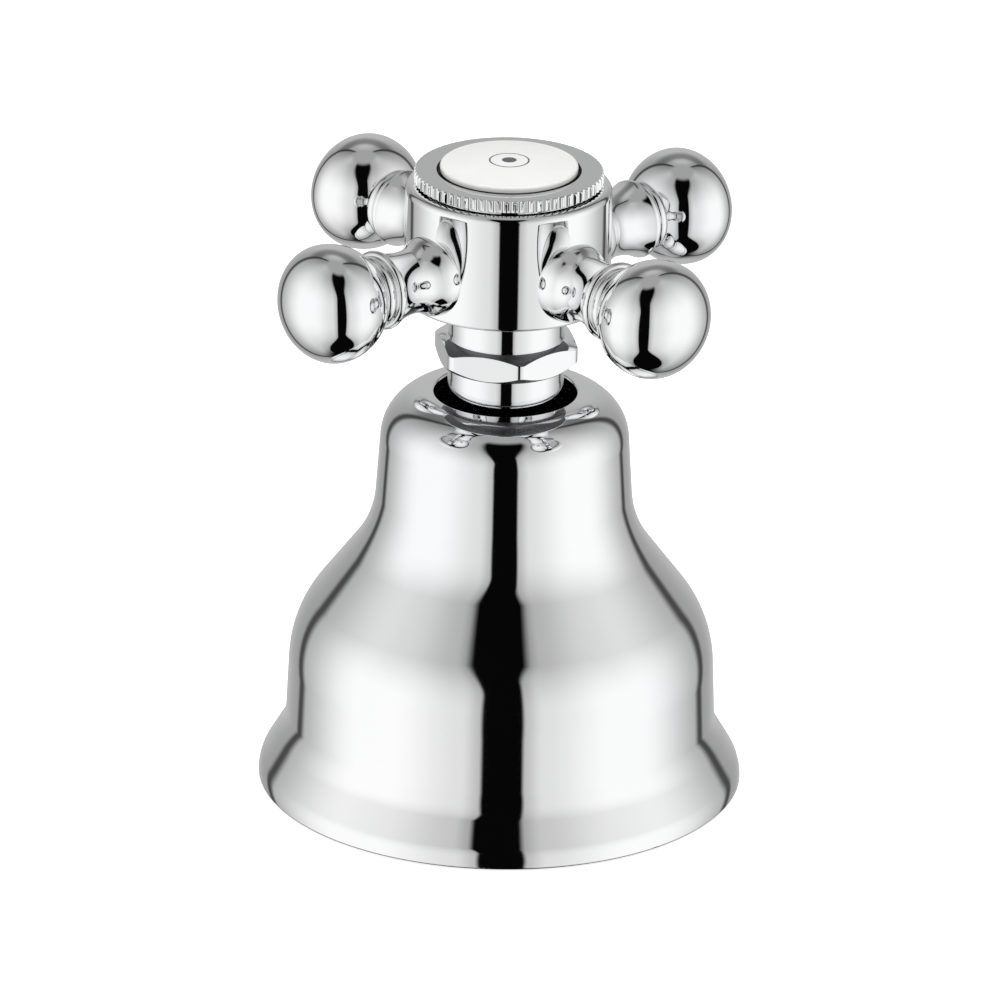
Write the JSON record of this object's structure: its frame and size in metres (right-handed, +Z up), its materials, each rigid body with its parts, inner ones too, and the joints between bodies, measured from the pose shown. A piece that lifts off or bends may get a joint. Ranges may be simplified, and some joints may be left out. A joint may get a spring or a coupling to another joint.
{
  "type": "cross handle tap",
  "caption": "Chromed cross handle tap head: ball-ended arms, a reeded cap ring round a white porcelain index, and a bell cover over a quarter turn ceramic disc valve",
  "frame": {"origin": "centre of the face that the bell's rim stands on", "axes": "+Z up along the spindle; the arms point along +X, +Y, -X and -Y when the tap is shut"},
  "size_m": [0.0702, 0.0702, 0.0851],
  "materials": {
    "chrome": "bright chrome plate on polished brass",
    "brass": "turned, unplated",
    "rubber": "moulded",
    "ceramic_disc": "lapped alumina",
    "black_plastic": "moulded",
    "natural_plastic": "turned acetal",
    "steel": "stainless",
    "porcelain": "white glaze"
  },
  "bodies": {
    "tap_base": {"bell_escutcheon": "chrome", "base_seal": "rubber", "headwork_body": "brass", "headwork_o_ring": "rubber", "seat_seal": "rubber", "fixed_disc": "ceramic_disc", "spindle_bush": "natural_plastic", "cover_sleeve": "chrome", "gland_nut": "chrome", "shroud_carrier": "black_plastic", "carrier_o_ring": "rubber", "carrier_lock_nut": "black_plastic"},
    "handle": {"spindle": "brass", "spindle_o_ring_lower": "rubber", "spindle_o_ring_upper": "rubber", "slip_washer": "natural_plastic", "moving_disc": "ceramic_disc", "spindle_circlip": "steel", "handle_hub": "chrome", "arm_right": "chrome", "arm_back": "chrome", "arm_left": "chrome", "arm_front": "chrome", "spline_insert": "natural_plastic", "handle_screw": "steel", "lock_washer": "steel"},
    "index": {"index_disc": "porcelain", "index_gasket": "rubber"},
    "cap": {"cap_ring": "chrome"}
  },
  "joints": [
    {"name": "handle_turn", "type": "hinge", "parent": "tap_base", "child": "handle", "pos_m": [0, 0, 0.0723], "axis": [0, 0, 1], "range_deg": [0, 90]},
    {"name": "cap_lift", "type": "slide", "parent": "handle", "child": "index", "axis": [0, 0, 1], "range_m": [0, 0.004]},
    {"name": "cap_turn", "type": "hinge", "parent": "index", "child": "cap", "pos_m": [0, 0, 0.083], "axis": [0, 0, 1], "range_deg": [0, 1440]}
  ],
  "couplings": [
    {"joint": "cap_lift", "follows": "cap_turn", "m_per_rad": 0.000159}
  ]
}
